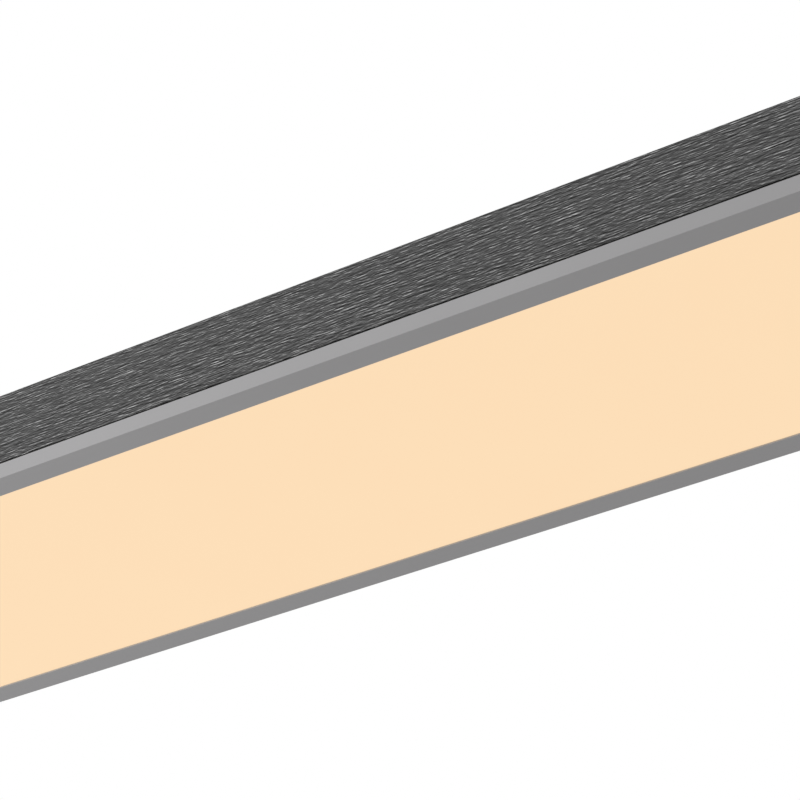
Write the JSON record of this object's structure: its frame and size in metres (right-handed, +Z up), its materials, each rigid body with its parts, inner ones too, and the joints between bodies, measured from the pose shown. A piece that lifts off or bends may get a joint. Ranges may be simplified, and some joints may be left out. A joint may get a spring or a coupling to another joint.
{
  "type": "hanging shop light",
  "caption": "Long hanging light: brushed aluminium channel, grey frame with a lit opal lens, wire hangers on sliding saddles, rocker switch and cable gland.",
  "frame": {"origin": "midway between the two saddles, in the plane of their ceiling faces and in the middle of the outer ceiling screw holes", "axes": "+X runs along the light to the end with the switch and the gland, +Z up, +Y across"},
  "size_m": [1.2204, 0.13, 0.1314],
  "materials": {
    "brushed_aluminium": "extruded, brushed along its length and anodised grey",
    "cap_aluminium": "die cast, painted to match the housing",
    "frame_paint": "extruded, fine satin grey paint",
    "opal_acrylic": "opal diffuser, evenly lit a warm cream",
    "black_rubber": "black foam rubber and rubber seals",
    "zinc_steel": "zinc plated",
    "spring_steel": "spring steel",
    "white_steel": "white powder coat on sheet steel",
    "white_board": "white solder mask on an aluminium backed board",
    "led_phosphor": "yellow phosphor in a white case",
    "green_board": "green solder mask on glass fibre board",
    "dark_core": "ferrite and varnished windings",
    "capacitor_sleeve": "dark printed sleeve without print",
    "white_nylon": "white nylon",
    "black_plastic": "moulded black nylon",
    "brass": "plain brass",
    "brown_wire": "brown PVC insulation",
    "blue_wire": "blue PVC insulation",
    "green_yellow_wire": "green and yellow PVC insulation",
    "red_wire": "red PVC insulation",
    "black_wire": "black PVC insulation"
  },
  "bodies": {
    "light": {"housing": "brushed_aluminium", "end_cap_left": "cap_aluminium", "end_cap_right": "cap_aluminium", "end_seal_left": "black_rubber", "end_seal_right": "black_rubber", "end_screws_left": "zinc_steel", "end_screws_right": "zinc_steel", "frame_clips_front": "spring_steel", "frame_clips_rear": "spring_steel", "tray_screws": "zinc_steel", "reflector_tray": "white_steel", "tray_grommets": "black_rubber", "led_board_front_left": "white_board", "led_board_front_right": "white_board", "led_board_rear_left": "white_board", "led_board_rear_right": "white_board", "led_chips_front": "led_phosphor", "led_chips_rear": "led_phosphor", "board_screws": "zinc_steel", "board_connectors": "white_nylon", "driver_case": "zinc_steel", "driver_cover": "zinc_steel", "driver_board": "green_board", "driver_transformer": "dark_core", "driver_capacitors": "capacitor_sleeve", "driver_terminals": "white_nylon", "driver_screws": "zinc_steel", "terminal_block": "white_nylon", "terminal_screws": "zinc_steel", "earth_screw": "brass", "live_leads": "brown_wire", "neutral_lead": "blue_wire", "earth_lead": "green_yellow_wire", "led_plus_leads": "red_wire", "led_minus_leads": "black_wire", "switch_body": "black_plastic", "switch_tabs": "brass", "gland_body": "black_plastic", "gland_nut": "black_plastic", "gland_seal": "black_rubber", "gland_locknut": "black_plastic"},
    "lens_frame": {"frame_rail_front": "frame_paint", "frame_rail_rear": "frame_paint", "frame_rail_left": "frame_paint", "frame_rail_right": "frame_paint", "frame_corner_keys": "zinc_steel", "frame_key_screws": "zinc_steel", "frame_seal": "black_rubber", "lens": "opal_acrylic"},
    "rocker": {"switch_rocker": "black_plastic"},
    "left_saddle": {"saddle_left": "zinc_steel", "saddle_screws_left": "zinc_steel"},
    "right_saddle": {"saddle_right": "zinc_steel", "saddle_screws_right": "zinc_steel"},
    "left_hanger": {"hanger_left": "spring_steel"},
    "right_hanger": {"hanger_right": "spring_steel"}
  },
  "joints": [
    {"name": "lens_frame_drop", "type": "slide", "parent": "light", "child": "lens_frame", "axis": [0, 0, -1], "range_m": [0, 0.06]},
    {"name": "left_saddle_slide", "type": "slide", "parent": "light", "child": "left_saddle", "axis": [1, 0, 0], "range_m": [-0.1, 0.35]},
    {"name": "right_saddle_slide", "type": "slide", "parent": "light", "child": "right_saddle", "axis": [1, 0, 0], "range_m": [-0.35, 0.1]},
    {"name": "left_hanger_fold", "type": "hinge", "parent": "left_saddle", "child": "left_hanger", "pos_m": [-0.45, 0, -0.006], "axis": [0, 1, 0], "range_deg": [-88, 88]},
    {"name": "right_hanger_fold", "type": "hinge", "parent": "right_saddle", "child": "right_hanger", "pos_m": [0.45, 0, -0.006], "axis": [0, 1, 0], "range_deg": [-88, 88]},
    {"name": "rocker_press", "type": "hinge", "parent": "light", "child": "rocker", "pos_m": [0.6008, -0.034, -0.0323], "axis": [0, -1, 0], "range_deg": [0, 18]}
  ]
}
